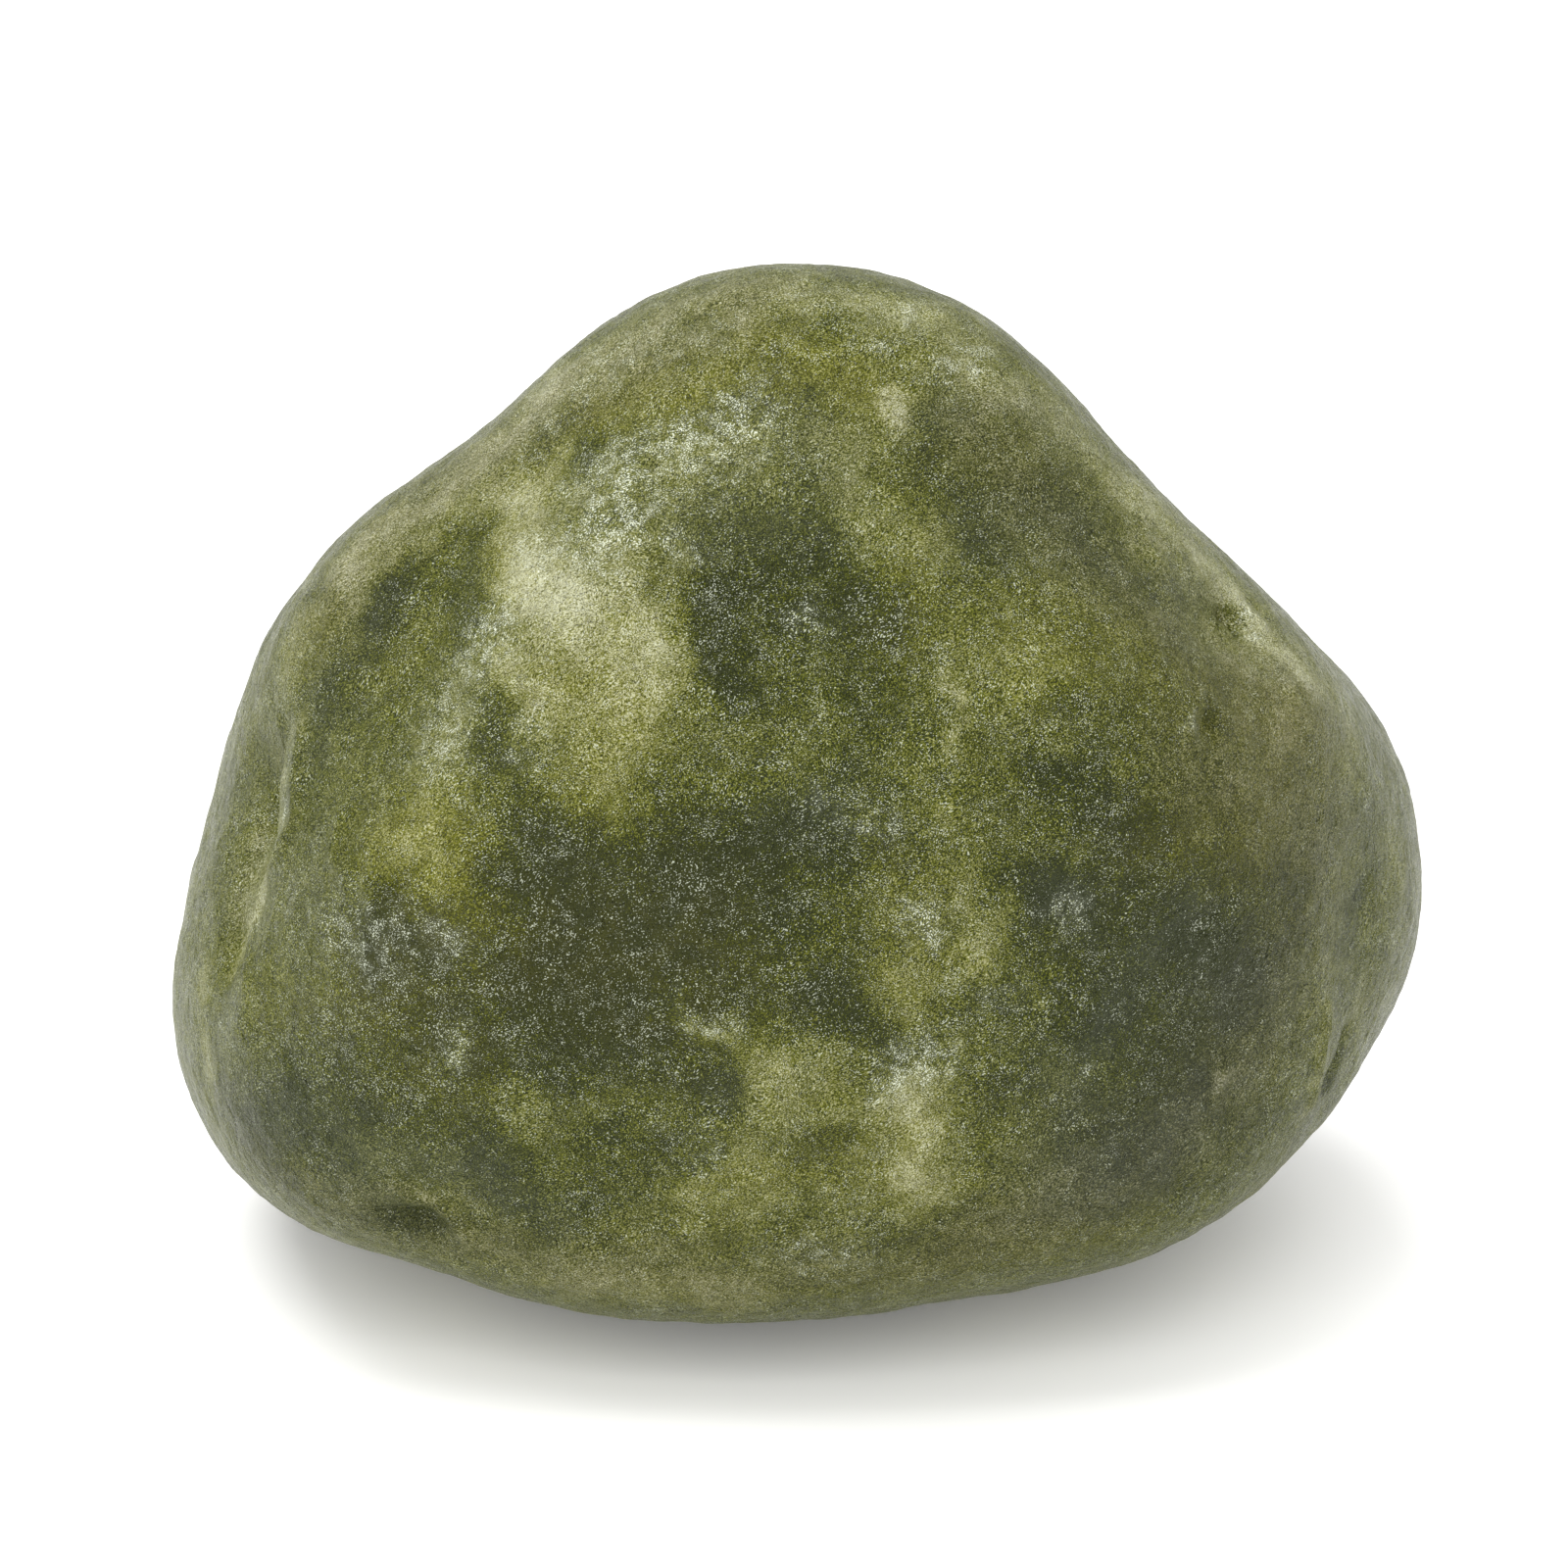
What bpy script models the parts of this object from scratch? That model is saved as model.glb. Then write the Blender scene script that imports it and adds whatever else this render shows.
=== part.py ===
"""A river-worn jadeite cobble: one solid piece of stone, with a small flat spot that it rests on.

The stone is built up as a carver would block it out. Worn faces, each with a direction and a distance from the
middle, give a rounded lump. Swells, ridges, hollows and grooves are pressed into it. It is then drawn to the
outline that it shows from the front, and cut flat underneath.

Metres, +X to the right, +Y to the back, +Z up. The origin is on the ground, under the middle of the stone's box.
"""

import math

import bmesh
import bpy
import numpy as np
from mathutils import Vector, noise
from mathutils.bvhtree import BVHTree

# Driving dimensions, in metres.
OUTLINE_WIDTH = 0.080
FLAT_SPOT_DEPTH = 0.0014
UNEVENNESS = 0.0003
UNEVENNESS_SPACING = 0.009

# The front view is a picture seen from a little above. The outline and the front's relief are given in its
# pixels, and OUTLINE_WIDTH gives them their size.
VIEW_ELEVATION = math.radians(20)
VIEW_DISTANCE = 0.420
PICTURE_MIDDLE = (812.5, 808.5)
OUTLINE_PIXELS_ACROSS = 1277
PIXEL = OUTLINE_WIDTH / OUTLINE_PIXELS_ACROSS

# The outline, anticlockwise from the right.
OUTLINE = (
    (1451, 900),
    (1404, 730),
    (1328, 643),
    (1260, 573),
    (1194, 513),
    (1074, 383),
    (1001, 320),
    (912, 282),
    (718, 280),
    (629, 320),
    (488, 440),
    (339, 555),
    (279, 635),
    (211, 830),
    (184, 941),
    (174, 1035),
    (295, 1243),
    (352, 1270),
    (427, 1291),
    (529, 1326),
    (740, 1351),
    (850, 1346),
    (940, 1332),
    (1060, 1312),
    (1189, 1274),
    (1412, 1047),
    (1443, 970),
)

# Worn faces: name, azimuth and elevation of its outward direction in degrees, distance from the middle.
# Azimuth 0 is the front, 90 the right and 180 the back.
FACES = (
    ("front_upper", -8, 34, 0.031),
    ("front_lower", 2, -8, 0.031),
    ("front_left", -48, 14, 0.035),
    ("front_right", 50, 8, 0.036),
    ("upper_left", -112, 46, 0.032),
    ("upper_right", 108, 41, 0.031),
    ("right", 90, 0, 0.041),
    ("left", -94, 10, 0.038),
    ("lower_right", 77, -32, 0.040),
    ("under_right", 39, -65, 0.035),
    ("under_front", 0, -70, 0.034),
    ("under_left", -39, -65, 0.036),
    ("lower_left", -78, -24, 0.042),
    ("top", 180, 70, 0.034),
    ("back_upper", 170, 40, 0.031),
    ("back", 178, 5, 0.031),
    ("back_left", -138, 5, 0.035),
    ("back_right", 142, 0, 0.036),
    ("under_back", 180, -50, 0.033),
    ("base", 0, -90, 0.033),
)
FACE_SHARPNESS = 9

# Relief seen from the front: name, height (minus is a hollow), half width, and its middle line in pixels.
FRONT_RELIEF = (
    ("left_ridge", 0.0015, 0.0085, ((785, 360), (705, 435), (630, 520), (575, 620), (520, 740), (430, 870))),
    ("left_flute", -0.0020, 0.0060, ((620, 425), (530, 480), (455, 570), (400, 660))),
    ("left_shoulder", 0.0010, 0.0090, ((320, 650),)),
    ("left_cheek", 0.0009, 0.0080, ((390, 960),)),
    ("left_furrow", -0.0016, 0.0026, ((268, 800), (260, 890), (240, 960))),
    ("left_ledge", 0.0007, 0.0022, ((296, 790), (286, 860), (272, 930), (246, 1030))),
    ("left_fold", -0.0009, 0.0026, ((400, 1222), (440, 1246))),
    ("lower_left_dip", -0.0008, 0.0080, ((560, 1180),)),
    ("middle_dip", -0.0012, 0.0075, ((800, 540), (820, 690))),
    ("belly", 0.0014, 0.0150, ((830, 1030),)),
    ("right_crest", 0.0013, 0.0066, ((900, 380), (945, 480), (1010, 590), (1090, 655), (1200, 668), (1310, 705))),
    ("right_hollow", -0.0022, 0.0060, ((1090, 540), (1160, 585), (1235, 628))),
    ("slit_pit", -0.0009, 0.0024, ((1248, 630), (1276, 652))),
    ("right_dimple", -0.0008, 0.0030, ((1075, 920),)),
    ("lower_right_dent", -0.0010, 0.0070, ((1240, 1080),)),
    ("right_rim_flute", -0.0008, 0.0036, ((1392, 920), (1375, 1080))),
)

# Relief on the sides and the back: name, height, half width, and its middle line as (azimuth, elevation).
HIDDEN_RELIEF = (
    ("back_ridge", 0.0022, 0.0080, ((150, 62), (165, 35), (172, 8), (160, -22))),
    ("back_hollow", -0.0026, 0.0100, ((-155, 22),)),
    ("back_scoop", -0.0022, 0.0080, ((135, 22), (128, -4))),
    ("back_ledge", 0.0012, 0.0040, ((-172, -6), (-152, -12), (-134, -10))),
    ("back_heel", 0.0018, 0.0120, ((-165, -32),)),
    ("crown_dip", -0.0012, 0.0070, ((-150, 68),)),
    ("left_side_flute", -0.0014, 0.0060, ((-105, 22), (-118, -8), (-112, -30))),
    ("right_side_dent", -0.0014, 0.0080, ((102, -14),)),
)

# How finely the stone is faceted, and how finely its outline is fitted.
QUADS_ALONG_CUBE_EDGE = 28
OUTLINE_STEPS = 120

# A point this near the ground is moved onto it before the cut, and an edge this sharp is shaded as one.
SLIVER = 0.0002
SHARP_RIM = math.radians(30)


def direction(azimuth, elevation):
    """The outward direction at an azimuth and elevation in degrees."""
    turn = math.radians(azimuth)
    rise = math.radians(elevation)
    return np.array((math.sin(turn) * math.cos(rise), -math.cos(turn) * math.cos(rise), math.sin(rise)))


RIGHT = np.array((1.0, 0.0, 0.0))
UPWARD = np.array((0.0, math.sin(VIEW_ELEVATION), math.cos(VIEW_ELEVATION)))
TOWARD = direction(0, math.degrees(VIEW_ELEVATION))


def sphere_grid():
    """A unit sphere of even quads, blown up from a cube's grid."""
    mesh = bmesh.new()
    bmesh.ops.create_cube(mesh, size=2.0)
    bmesh.ops.subdivide_edges(mesh, edges=mesh.edges[:], cuts=QUADS_ALONG_CUBE_EDGE - 1, use_grid_fill=True)
    for vertex in mesh.verts:
        vertex.co = [math.tan(place * math.pi / 4) for place in vertex.co]
        vertex.co.normalize()
    mesh.verts.index_update()
    return mesh


def worn_lump(rays):
    """The rounded lump that the worn faces bound, as a point along each ray."""
    total = np.zeros(len(rays))
    for _, azimuth, elevation, distance in FACES:
        total += np.maximum(0, rays @ direction(azimuth, elevation) / distance) ** FACE_SHARPNESS
    return rays * (total ** (-1 / FACE_SHARPNESS))[:, None]


def in_picture(points):
    """Where the front view shows the points: across, up, and how near to the eye they are."""
    near = points @ TOWARD
    shrink = 1 - near / VIEW_DISTANCE
    return points @ RIGHT / shrink, points @ UPWARD / shrink, near


def from_picture(across, up, near):
    """The points that the front view shows at these places."""
    shrink = (1 - near / VIEW_DISTANCE)[:, None]
    return (np.outer(across, RIGHT) + np.outer(up, UPWARD)) * shrink + np.outer(near, TOWARD)


def on_picture(pixels):
    """Pixels as places across and up from the picture's middle, in metres."""
    return (np.array(pixels, float) - PICTURE_MIDDLE) * (PIXEL, -PIXEL)


def smooth_round(angles, values, wanted):
    """A closed smooth curve through values at rising angles, read at the wanted angles."""
    turn = 2 * math.pi
    angles = np.concatenate((angles[-2:] - turn, angles, angles[:2] + turn))
    values = np.concatenate((values[-2:], values, values[:2]))
    slopes = np.gradient(values, angles)
    wanted = (wanted - angles[2]) % turn + angles[2]
    k = np.searchsorted(angles, wanted, side="right") - 1
    gap = angles[k + 1] - angles[k]
    t = (wanted - angles[k]) / gap
    return (
        values[k] * (1 + 2 * t) * (1 - t) ** 2
        + values[k + 1] * (3 - 2 * t) * t**2
        + gap * t * (1 - t) * (slopes[k] * (1 - t) - slopes[k + 1] * t)
    )


def outline_reach(around):
    """How far the outline lies from the picture's middle, at each angle around it."""
    across, up = on_picture(OUTLINE).T
    angles = np.arctan2(up, across) % (2 * math.pi)
    order = np.argsort(angles)
    return smooth_round(angles[order], np.hypot(across, up)[order], around)


def silhouette_reach(places, edges, steps):
    """How far a mesh drawn at these places of the picture reaches from its middle, at each angle."""
    start, end = places[edges[:, 0]], places[edges[:, 1]]
    reach = []
    for step in steps:
        ray = np.array((math.cos(step), math.sin(step)))
        side = np.array((-ray[1], ray[0]))
        off_start, off_end = start @ side, end @ side
        crossing = off_start * off_end < 0
        share = (off_start / (off_start - off_end + ~crossing))[crossing]
        reach.append((start[crossing] @ ray * (1 - share) + end[crossing] @ ray * share).max())
    return np.array(reach)


def drawn_to_outline(points, edges):
    """The mesh's points, moved within the front view so that its silhouette is the outline."""
    across, up, near = in_picture(points)
    steps = np.arange(OUTLINE_STEPS) * 2 * math.pi / OUTLINE_STEPS
    reach = silhouette_reach(np.stack((across, up), 1), edges, steps)
    around = np.arctan2(up, across) % (2 * math.pi)
    scale = smooth_round(steps, outline_reach(steps) / reach, around)
    return from_picture(across * scale, up * scale, near)


def seen_at(surface, pixel):
    """The place on the surface that the front view shows at a pixel."""
    across, up = on_picture(pixel)
    eye = TOWARD * VIEW_DISTANCE
    return surface.ray_cast(Vector(eye), Vector(RIGHT * across + UPWARD * up - eye))[0]


def facing(surface, azimuth, elevation):
    """The place on the surface in a direction from the middle."""
    return surface.ray_cast(Vector(), Vector(direction(azimuth, elevation)))[0]


def distance_to_path(points, path):
    """The distance from each point to the nearest place on a path of straight stretches."""
    path = np.array(path)
    nearest = np.linalg.norm(points - path[0], axis=1)
    for start, end in zip(path[:-1], path[1:]):
        stretch = end - start
        along = np.clip((points - start) @ stretch / (stretch @ stretch), 0, 1)
        nearest = np.minimum(nearest, np.linalg.norm(points - start - np.outer(along, stretch), axis=1))
    return nearest


def relief(points, surface):
    """How far each point stands out from the plain lump, from all the swells and hollows."""
    height = np.zeros(len(points))
    paths = [(rise, width, [seen_at(surface, spot) for spot in path]) for _, rise, width, path in FRONT_RELIEF]
    paths += [(rise, width, [facing(surface, *spot) for spot in path]) for _, rise, width, path in HIDDEN_RELIEF]
    for rise, width, path in paths:
        height += rise * np.exp(-((distance_to_path(points, path) / width) ** 2))
    for i, point in enumerate(points):
        height[i] += UNEVENNESS * noise.noise(Vector(point / UNEVENNESS_SPACING))
    return height


def cut_flat_spot(mesh):
    """Cuts the underside flat and closes it with one face, with no slivers along its rim."""
    ground = min(vertex.co.z for vertex in mesh.verts) + FLAT_SPOT_DEPTH
    for vertex in mesh.verts:
        if abs(vertex.co.z - ground) < SLIVER:
            vertex.co.z = ground
    everything = mesh.verts[:] + mesh.edges[:] + mesh.faces[:]
    bmesh.ops.bisect_plane(
        mesh, geom=everything, dist=1e-6, plane_co=(0, 0, ground), plane_no=(0, 0, 1), clear_inner=True
    )
    rim = [edge for edge in mesh.edges if edge.is_boundary]
    bmesh.ops.holes_fill(mesh, edges=rim)


def jadeite():
    """Mid green stone with a soft sheen."""
    material = bpy.data.materials.new("jadeite")
    material.use_nodes = True
    shader = material.node_tree.nodes["Principled BSDF"]
    shader.inputs["Base Color"].default_value = (0.13, 0.15, 0.05, 1)
    shader.inputs["Roughness"].default_value = 0.5
    shader.inputs["Metallic"].default_value = 0
    return material


def shape_stone(mesh):
    """Moves the unit sphere's points to the stone's surface, with the stone's middle at the mesh's origin."""
    rays = np.array([vertex.co for vertex in mesh.verts])
    edges = np.array([[vertex.index for vertex in edge.verts] for edge in mesh.edges])
    quads = [[vertex.index for vertex in face.verts] for face in mesh.faces]
    points = drawn_to_outline(worn_lump(rays), edges)
    surface = BVHTree.FromPolygons(points.tolist(), quads)
    points = drawn_to_outline(points + rays * relief(points, surface)[:, None], edges)
    for vertex, point in zip(mesh.verts, points):
        vertex.co = point


def jadeite_stone():
    """The stone, standing on its flat spot with the middle of its box over the origin."""
    mesh = sphere_grid()
    shape_stone(mesh)
    cut_flat_spot(mesh)
    bmesh.ops.recalc_face_normals(mesh, faces=mesh.faces[:])
    places = np.array([vertex.co for vertex in mesh.verts])
    low, high = places.min(0), places.max(0)
    data = bpy.data.meshes.new("jadeite_stone")
    mesh.to_mesh(data)
    mesh.free()
    data.shade_smooth()
    data.set_sharp_from_angle(angle=SHARP_RIM)
    data.materials.append(jadeite())
    stone = bpy.data.objects.new("jadeite_stone", data)
    stone.location = (-(low[0] + high[0]) / 2, -(low[1] + high[1]) / 2, -low[2])
    bpy.context.scene.collection.objects.link(stone)


for leftover in list(bpy.data.objects):
    bpy.data.objects.remove(leftover)
jadeite_stone()
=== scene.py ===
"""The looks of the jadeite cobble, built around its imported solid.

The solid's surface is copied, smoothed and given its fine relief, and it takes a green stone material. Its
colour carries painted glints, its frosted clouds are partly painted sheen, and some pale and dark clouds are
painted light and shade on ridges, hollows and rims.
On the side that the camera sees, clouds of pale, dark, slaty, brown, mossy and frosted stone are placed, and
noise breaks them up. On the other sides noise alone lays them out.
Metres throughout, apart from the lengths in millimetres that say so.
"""

import math

import bmesh
import bpy
import numpy as np
from mathutils import Color, Matrix, Vector, noise
from mathutils.bvhtree import BVHTree


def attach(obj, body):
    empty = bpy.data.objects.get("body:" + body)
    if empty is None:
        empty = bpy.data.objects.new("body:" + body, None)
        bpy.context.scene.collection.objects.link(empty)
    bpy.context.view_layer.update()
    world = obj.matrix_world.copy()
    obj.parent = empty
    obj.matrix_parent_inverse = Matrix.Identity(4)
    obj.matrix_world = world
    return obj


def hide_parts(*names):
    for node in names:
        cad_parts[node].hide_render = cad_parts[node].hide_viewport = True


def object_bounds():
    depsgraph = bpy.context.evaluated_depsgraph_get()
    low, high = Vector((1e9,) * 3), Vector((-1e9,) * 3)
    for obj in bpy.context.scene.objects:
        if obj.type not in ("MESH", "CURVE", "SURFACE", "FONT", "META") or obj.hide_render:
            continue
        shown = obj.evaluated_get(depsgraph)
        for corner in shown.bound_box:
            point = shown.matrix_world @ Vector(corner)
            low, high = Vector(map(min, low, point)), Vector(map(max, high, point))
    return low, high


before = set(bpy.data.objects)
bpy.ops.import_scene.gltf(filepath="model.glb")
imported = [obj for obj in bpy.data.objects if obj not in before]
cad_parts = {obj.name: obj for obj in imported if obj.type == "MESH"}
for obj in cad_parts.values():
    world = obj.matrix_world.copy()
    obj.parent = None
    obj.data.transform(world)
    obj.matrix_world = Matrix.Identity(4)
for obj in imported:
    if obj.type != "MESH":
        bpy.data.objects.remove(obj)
cad_low, cad_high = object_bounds()

MM = 0.001

# The camera's picture is this many pixels square, and the stone's width in it gives the length of a pixel.
PICTURE_SIDE = 1600
STONE_PIXELS = 1277
STONE_WIDTH = 0.080
PIXEL = STONE_WIDTH / STONE_PIXELS

# The camera looks down at this angle and from this far on the stone's middle, which it sees at this pixel.
VIEW_ELEVATION = math.radians(20)
VIEW_DISTANCE = 0.420
MIDDLE = Vector((0.0000, -0.0004, 0.0316))
MIDDLE_PIXEL = (812.5, 808.5)
SENSOR_WIDTH_MM = 36
NEAREST_SEEN = 0.01
FURTHEST_SEEN = 20

RIGHT = Vector((1, 0, 0))
UPWARD = Vector((0, math.sin(VIEW_ELEVATION), math.cos(VIEW_ELEVATION)))
TOWARD = Vector((0, -math.cos(VIEW_ELEVATION), math.sin(VIEW_ELEVATION)))
EYE = MIDDLE + TOWARD * VIEW_DISTANCE

# The studio.
WHITE = (1.0, 1.0, 1.0, 1.0)
SURROUNDING_LIGHT = 0.95
FLOOR_HALF_WIDTH = 3
FLOOR_COLOUR = (0.95, 0.95, 0.94, 1.0)
FLOOR_ROUGHNESS = 0.7
FLOOR_GLOW = (1.0, 0.99, 0.96, 1.0)
FLOOR_GLOW_STRENGTH = 0.10

# The skin's mesh: how far apart points are welded, the side of a quad, and how its facets are smoothed away.
WELD_DISTANCE = 1e-6
VOXEL = 0.00050
SMOOTHING_FACTOR = 0.5
SMOOTHING_PASSES = 19

# How far one seed moves the noise along each axis, in lumps, and how each octave follows the one before.
SEED_STEPS = (17.3, -9.1, 5.7)
OCTAVE_FALL = 1.0
OCTAVE_RATIO = 2.0

# The kinds of stone that the skin carries as fields, the frosted one partly painted sheen. A dark cloud takes
# away from the pale field.
KINDS = ("pale", "slate", "brown", "moss", "frost_and_sheen")

# Clouds of colour seen from the front: kind, amount, half width in millimetres, and middle line in pixels.
# Some rows
# are painted light: sheen, highlights on ridges and rims, and shade in hollows, each said where it stands.
FRONT_CLOUDS = (
    # The pale patch on the left shoulder.
    ("pale", 0.27, 2.0, ((535, 578), (556, 605))),
    ("pale", 0.24, 3.2, ((525, 520), (530, 570), (580, 640), (640, 690), (640, 750), (630, 775))),
    ("pale", 0.26, 1.6, ((524, 688), (564, 728))),
    ("pale", 0.20, 1.5, ((640, 575), (656, 650))),
    ("pale", 0.14, 1.4, ((600, 520),)),
    ("pale", 0.12, 1.2, ((705, 576), (696, 622))),
    ("pale", 0.22, 1.6, ((543, 504), (572, 468))),
    ("pale", 0.12, 2.4, ((600, 590), (660, 640), (665, 690))),
    # Frosted patches on the shoulder: partly whitish stone, partly painted sheen.
    ("frost_and_sheen", 0.7, 1.8, ((605, 505), (640, 535))),
    ("frost_and_sheen", 0.5, 1.6, ((545, 560), (605, 565))),
    ("moss", 0.6, 1.8, ((520, 590), (515, 560))),
    ("moss", 0.5, 3.0, ((590, 700), (640, 740), (610, 790))),
    ("dark", 0.12, 1.4, ((670, 810), (685, 860))),
    # The painted sheen above it and the ridge that falls from the top.
    ("frost_and_sheen", 0.55, 1.9, ((665, 455), (715, 425), (770, 425))),
    ("frost_and_sheen", 0.3, 2.2, ((650, 480), (700, 480), (780, 470))),
    ("pale", 0.10, 2.2, ((640, 490), (690, 470), (765, 465))),
    ("pale", 0.12, 1.5, ((640, 405), (700, 385), (760, 350), (800, 338))),
    ("moss", 0.7, 2.2, ((600, 425), (690, 395), (760, 365), (830, 375))),
    # A painted band of light along the upper-left ridge.
    ("frost_and_sheen", 0.4, 1.4, ((560, 430), (600, 385), (660, 350), (740, 330))),
    ("pale", 0.08, 1.2, ((590, 400), (660, 352), (760, 325))),
    ("dark", 0.10, 1.1, ((700, 322), (735, 318))),
    ("dark", 0.18, 1.2, ((854, 315),)),
    ("pale", 0.10, 1.0, ((764, 328),)),
    # Paler along the top rim: partly paler stone, partly painted light from above.
    ("pale", 0.22, 1.7, ((852, 296), (785, 294), (732, 304), (628, 348), (592, 372), (560, 392))),
    ("pale", 0.26, 2.1, ((548, 416), (495, 462), (456, 504), (416, 532), (360, 568))),
    ("pale", 0.18, 1.8, ((358, 595), (352, 636))),
    ("dark", 0.16, 1.6, ((550, 455), (600, 462))),
    ("moss", 0.4, 1.6, ((530, 485), (560, 495))),
    ("slate", 0.4, 2.0, ((770, 400), (830, 420))),
    # The left flank, down to the furrow.
    ("dark", 0.16, 1.6, ((490, 545), (478, 590), (488, 640))),
    ("dark", 0.12, 2.0, ((420, 592), (385, 620))),
    ("dark", 0.14, 1.7, ((390, 610), (340, 690), (325, 740))),
    ("slate", 0.5, 1.9, ((385, 620), (340, 700), (330, 760))),
    ("moss", 0.5, 1.5, ((330, 640), (300, 665))),
    ("moss", 0.4, 2.0, ((420, 670), (400, 690))),
    ("moss", 0.4, 1.4, ((268, 690), (250, 750))),
    ("pale", 0.18, 1.5, ((304, 642), (290, 690))),
    ("pale", 0.14, 1.2, ((312, 740),)),
    # Painted sheen on the left cheek.
    ("frost_and_sheen", 0.6, 1.8, ((508, 645), (478, 700), (460, 750))),
    ("pale", 0.12, 2.2, ((490, 690), (465, 740), (455, 800), (430, 850))),
    ("dark", 0.14, 1.5, ((512, 712), (500, 765))),
    ("frost_and_sheen", 0.5, 0.9, ((528, 778), (545, 748))),
    ("slate", 0.5, 1.8, ((235, 800), (285, 770), (290, 730))),
    ("slate", 0.6, 1.2, ((262, 880), (238, 950))),
    # The furrow's lit edge and the left rim beside it: painted highlight and painted rim light.
    ("frost_and_sheen", 0.5, 0.6, ((298, 800), (283, 870), (268, 912), (255, 960))),
    ("pale", 0.36, 1.1, ((286, 840), (268, 912), (244, 975))),
    ("pale", 0.26, 1.6, ((204, 1005), (212, 1090))),
    ("pale", 0.28, 1.2, ((292, 790), (272, 860), (248, 950), (240, 975))),
    ("slate", 0.3, 2.2, ((320, 800), (315, 900))),
    ("pale", 0.14, 1.5, ((316, 736), (285, 770))),
    # The yellow moss patch and the frosted dimple left of the middle, with painted sheen and a painted
    # highlight.
    ("moss", 1.0, 2.7, ((400, 848), (430, 880), (450, 925))),
    ("moss", 0.7, 1.6, ((470, 820), (480, 850))),
    ("pale", 0.14, 2.2, ((395, 850), (440, 870))),
    ("pale", 0.16, 0.9, ((405, 852),)),
    # A painted highlight along the crescent's ridge.
    ("pale", 0.18, 0.5, ((347, 826), (336, 866), (350, 900))),
    # Painted sheen around the dimple.
    ("frost_and_sheen", 0.35, 1.1, ((345, 915), (338, 965), (365, 985))),
    ("frost_and_sheen", 0.3, 2.4, ((350, 950), (400, 960))),
    ("dark", 0.16, 1.3, ((397, 912),)),
    ("dark", 0.22, 1.6, ((384, 960), (446, 960))),
    ("frost_and_sheen", 0.4, 1.2, ((450, 940), (470, 960))),
    ("moss", 0.5, 2.0, ((262, 1030), (340, 1030), (350, 1000))),
    ("moss", 0.3, 3.0, ((400, 1050), (480, 1110))),
    ("moss", 0.6, 6.0, ((420, 1000), (560, 970), (700, 990))),
    ("dark", 0.15, 3.6, ((390, 985), (430, 1040), (480, 1085))),
    ("dark", 0.13, 3.4, ((255, 1155), (330, 1090), (400, 1130))),
    # The dark middle.
    ("dark", 0.05, 9.0, ((660, 900), (820, 860), (1000, 930))),
    ("dark", 0.05, 6.0, ((420, 1010), (560, 990), (700, 1040))),
    ("dark", 0.26, 2.3, ((712, 640), (742, 700))),
    ("dark", 0.20, 2.7, ((760, 600), (825, 565), (860, 610))),
    ("dark", 0.06, 2.0, ((720, 525), (800, 520))),
    ("slate", 0.5, 2.4, ((720, 530), (840, 520), (850, 470))),
    ("frost_and_sheen", 0.5, 1.0, ((690, 555), (722, 560))),
    ("frost_and_sheen", 0.4, 0.8, ((822, 628), (862, 640))),
    ("dark", 0.16, 2.0, ((904, 645), (880, 700))),
    ("dark", 0.20, 1.3, ((810, 634),)),
    ("dark", 0.22, 2.7, ((740, 865), (800, 850), (850, 868))),
    ("dark", 0.24, 2.1, ((570, 957),)),
    ("dark", 0.12, 2.4, ((548, 1004), (608, 992))),
    ("dark", 0.10, 1.6, ((672, 888),)),
    ("dark", 0.12, 1.6, ((788, 916),)),
    ("dark", 0.12, 1.8, ((712, 908),)),
    ("dark", 0.30, 3.6, ((560, 885), (620, 955), (700, 945), (640, 1008), (560, 1010))),
    ("dark", 0.12, 3.5, ((640, 1060), (560, 1070))),
    ("dark", 0.12, 2.4, ((800, 950), (850, 990))),
    ("dark", 0.20, 2.1, ((850, 1030), (890, 1050))),
    ("dark", 0.12, 1.6, ((735, 1005), (770, 1010))),
    ("slate", 0.15, 3.0, ((560, 880), (620, 930), (700, 950))),
    ("slate", 0.6, 1.8, ((780, 830), (850, 815))),
    ("frost_and_sheen", 0.6, 0.8, ((850, 812), (878, 838), (905, 850))),
    ("frost_and_sheen", 0.4, 1.0, ((460, 1055), (462, 1085))),
    ("pale", 0.22, 0.7, ((460, 1078),)),
    ("pale", 0.16, 0.6, ((405, 1035),)),
    # The top right of the ridge.
    ("moss", 0.6, 2.0, ((830, 350), (800, 385), (870, 400))),
    ("pale", 0.06, 2.4, ((850, 350), (880, 385))),
    ("pale", 0.40, 0.9, ((903, 405), (915, 428))),
    ("pale", 0.13, 1.6, ((862, 445), (872, 485), (895, 520), (942, 525), (950, 575))),
    ("pale", 0.12, 1.3, ((958, 560),)),
    ("moss", 0.6, 1.8, ((930, 570), (938, 605), (920, 640))),
    ("dark", 0.10, 1.1, ((942, 450), (945, 480))),
    ("pale", 0.10, 1.0, ((888, 424), (936, 415))),
    ("slate", 0.5, 1.5, ((940, 440), (1000, 430))),
    # Paler along the top rim: partly paler stone, partly painted light from above.
    ("pale", 0.22, 2.0, ((900, 308), (976, 336), (1026, 408), (1076, 424), (1124, 472), (1162, 506))),
    ("pale", 0.14, 1.4, ((936, 372),)),
    ("frost_and_sheen", 0.5, 1.3, ((970, 385), (1010, 375))),
    ("frost_and_sheen", 0.4, 0.8, ((1040, 420),)),
    ("frost_and_sheen", 0.4, 0.7, ((892, 352),)),
    ("frost_and_sheen", 0.4, 0.8, ((905, 305), (925, 325))),
    ("slate", 0.6, 1.8, ((1055, 425), (1090, 445))),
    ("dark", 0.14, 2.0, ((965, 525), (1005, 560))),
    ("slate", 0.5, 3.0, ((990, 540), (1090, 520), (1130, 570))),
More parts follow.
